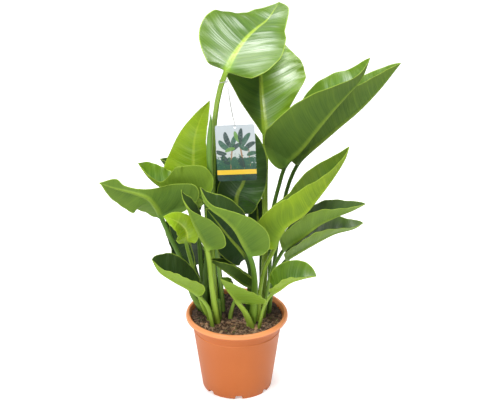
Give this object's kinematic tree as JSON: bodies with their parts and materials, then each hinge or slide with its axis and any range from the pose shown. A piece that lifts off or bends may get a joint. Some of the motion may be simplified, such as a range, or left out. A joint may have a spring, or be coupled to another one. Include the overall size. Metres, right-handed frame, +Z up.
{
  "type": "potted bird of paradise plant",
  "caption": "Bird of paradise plant with broad, folded paddle leaves on tall stalks, rooted in soil in a round tapered nursery pot, with a hanging picture tag on a thin string.",
  "frame": {"origin": "centre of the pot's underside", "axes": "+Z up, from the pot to the leaves; -Y is the front, which the tag faces"},
  "size_m": [0.602, 0.349, 0.7767],
  "materials": {
    "pot": "satin terracotta-coloured plastic",
    "soil": "rough peat and bark mix",
    "leaf_green": "leathery leaf, satin gloss",
    "leaf_young": "young leaf, yellow green, satin gloss",
    "leaf_dark": "old leaf, deep green, satin gloss",
    "tag": "printed plastic card",
    "string": "matt twine"
  },
  "bodies": {
    "root": {"pot": "pot", "soil": "soil", "leaf_top": "leaf_green", "leaf_top_rear": "leaf_green", "leaf_right_upper": "leaf_green", "leaf_right_rear": "leaf_green", "leaf_right_bright": "leaf_young", "leaf_right_middle": "leaf_green", "leaf_right_lower": "leaf_green", "leaf_low_right": "leaf_green", "leaf_low_front": "leaf_green", "leaf_low_left": "leaf_green", "leaf_left_wide": "leaf_green", "leaf_left_upper": "leaf_green", "leaf_upright_young": "leaf_young", "leaf_left_rear": "leaf_dark", "leaf_front_left": "leaf_green", "leaf_front_middle": "leaf_green", "leaf_behind_tag": "leaf_dark", "leaf_rear_centre": "leaf_dark", "leaf_unrolling": "leaf_young", "leaf_low_middle": "leaf_green", "leaf_inner_low": "leaf_dark", "leaf_inner_left": "leaf_dark", "leaf_inner_lower_left": "leaf_dark", "leaf_inner_middle": "leaf_dark", "leaf_inner_right": "leaf_dark", "leaf_rolled": "leaf_green", "stalk_stub": "leaf_green", "shoot_young": "leaf_young", "tag": "tag", "string": "string"}
  },
  "joints": []
}
